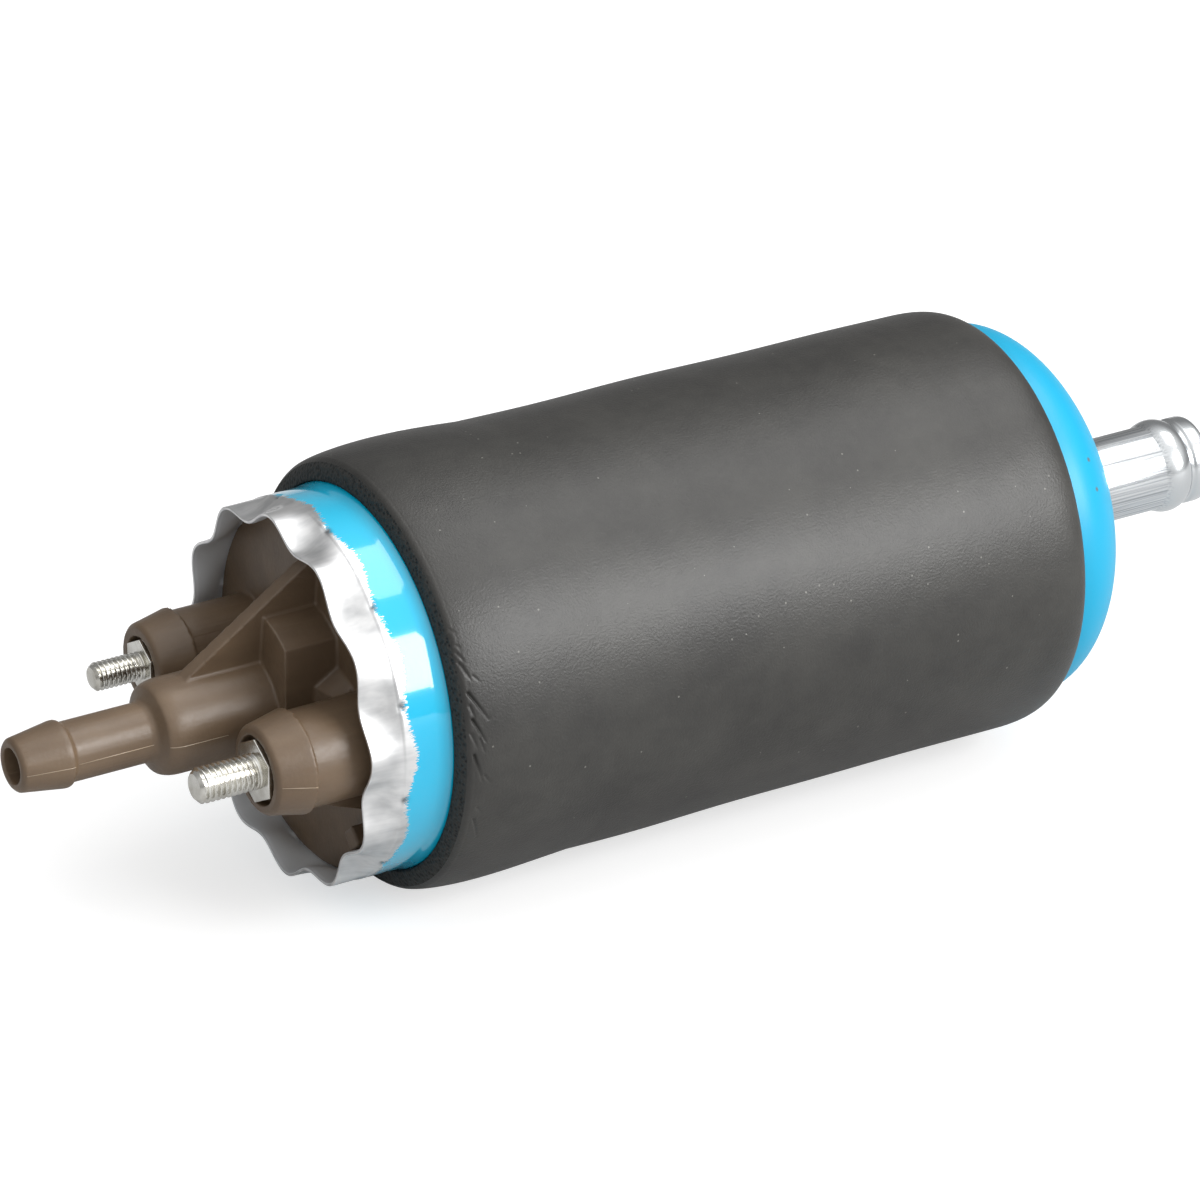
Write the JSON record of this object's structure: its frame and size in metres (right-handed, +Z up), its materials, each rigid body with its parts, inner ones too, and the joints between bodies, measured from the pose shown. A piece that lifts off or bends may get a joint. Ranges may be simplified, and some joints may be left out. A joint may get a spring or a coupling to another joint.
{
  "type": "electric fuel pump",
  "caption": "Inline electric fuel pump: crimped can in a foam sleeve, moulded outlet head with barb and two terminal studs, motor, gerotor cell, check and relief valves.",
  "frame": {"origin": "on the pump axis, at the middle of the foam sleeve's length, inside the strap band", "axes": "+X along the pump axis towards the inlet spigot, +Z up, the terminal line lies nearly along Y"},
  "size_m": [0.1871, 0.0616, 0.0616],
  "materials": {
    "coated_can": "gloss",
    "foam": "satin",
    "moulded_head": "satin",
    "rubber": "matte",
    "zinc_steel": "satin",
    "turned_aluminium": "brushed",
    "dark_steel": "satin",
    "ferrite": "matte",
    "copper": "satin",
    "bronze": "matte",
    "carbon": "matte",
    "nylon": "satin"
  },
  "bodies": {
    "pump_body": {"pump_can": "coated_can", "foam_sleeve": "foam", "outlet_head": "moulded_head", "head_o_ring": "rubber", "positive_stud": "zinc_steel", "negative_stud": "zinc_steel", "inlet_spigot": "turned_aluminium", "inlet_strainer": "nylon", "flux_ring": "dark_steel", "magnet_upper": "ferrite", "magnet_lower": "ferrite", "magnet_springs": "dark_steel", "front_bush": "bronze", "rear_bush": "bronze", "brush_holder": "nylon", "brush_spring_upper": "dark_steel", "brush_spring_lower": "dark_steel", "suppression_chokes": "copper", "pump_ring": "bronze", "inlet_plate": "turned_aluminium", "outlet_plate": "turned_aluminium", "plate_screws": "zinc_steel", "valve_seat": "bronze", "check_spring": "dark_steel", "relief_spring": "dark_steel", "relief_cap": "zinc_steel"},
    "armature": {"armature_shaft": "dark_steel", "lamination_core": "dark_steel", "windings": "copper", "commutator": "copper", "drive_coupling": "nylon", "gerotor_inner": "dark_steel"},
    "outer_rotor": {"gerotor_outer": "dark_steel"},
    "upper_brush": {"brush_upper": "carbon"},
    "lower_brush": {"brush_lower": "carbon"},
    "check_poppet": {"check_valve": "nylon"},
    "relief_poppet": {"relief_ball": "dark_steel"}
  },
  "joints": [
    {"name": "armature_spin", "type": "hinge", "parent": "pump_body", "child": "armature", "pos_m": [0, 0, 0], "axis": [1, 0, 0], "continuous": true},
    {"name": "outer_rotor_spin", "type": "hinge", "parent": "pump_body", "child": "outer_rotor", "pos_m": [0.0378, -0.0014, 0], "axis": [1, 0, 0], "continuous": true},
    {"name": "upper_brush_slide", "type": "slide", "parent": "pump_body", "child": "upper_brush", "axis": [0, 0, 1], "range_m": [0, 0.003], "stiffness_N_per_m": 300, "springref_m": -0.004, "deforming": ["brush_spring_upper"]},
    {"name": "lower_brush_slide", "type": "slide", "parent": "pump_body", "child": "lower_brush", "axis": [0, 0, -1], "range_m": [0, 0.003], "stiffness_N_per_m": 300, "springref_m": -0.004, "deforming": ["brush_spring_lower"]},
    {"name": "check_valve_lift", "type": "slide", "parent": "pump_body", "child": "check_poppet", "axis": [-1, 0, 0], "range_m": [0, 0.0025], "stiffness_N_per_m": 200, "springref_m": -0.004, "deforming": ["check_spring"]},
    {"name": "relief_valve_lift", "type": "slide", "parent": "pump_body", "child": "relief_poppet", "axis": [1, 0, 0], "range_m": [0, 0.0015], "stiffness_N_per_m": 2000, "springref_m": -0.003, "deforming": ["relief_spring"]}
  ],
  "couplings": [
    {"joint": "outer_rotor_spin", "follows": "armature_spin", "ratio": 0.85714}
  ]
}
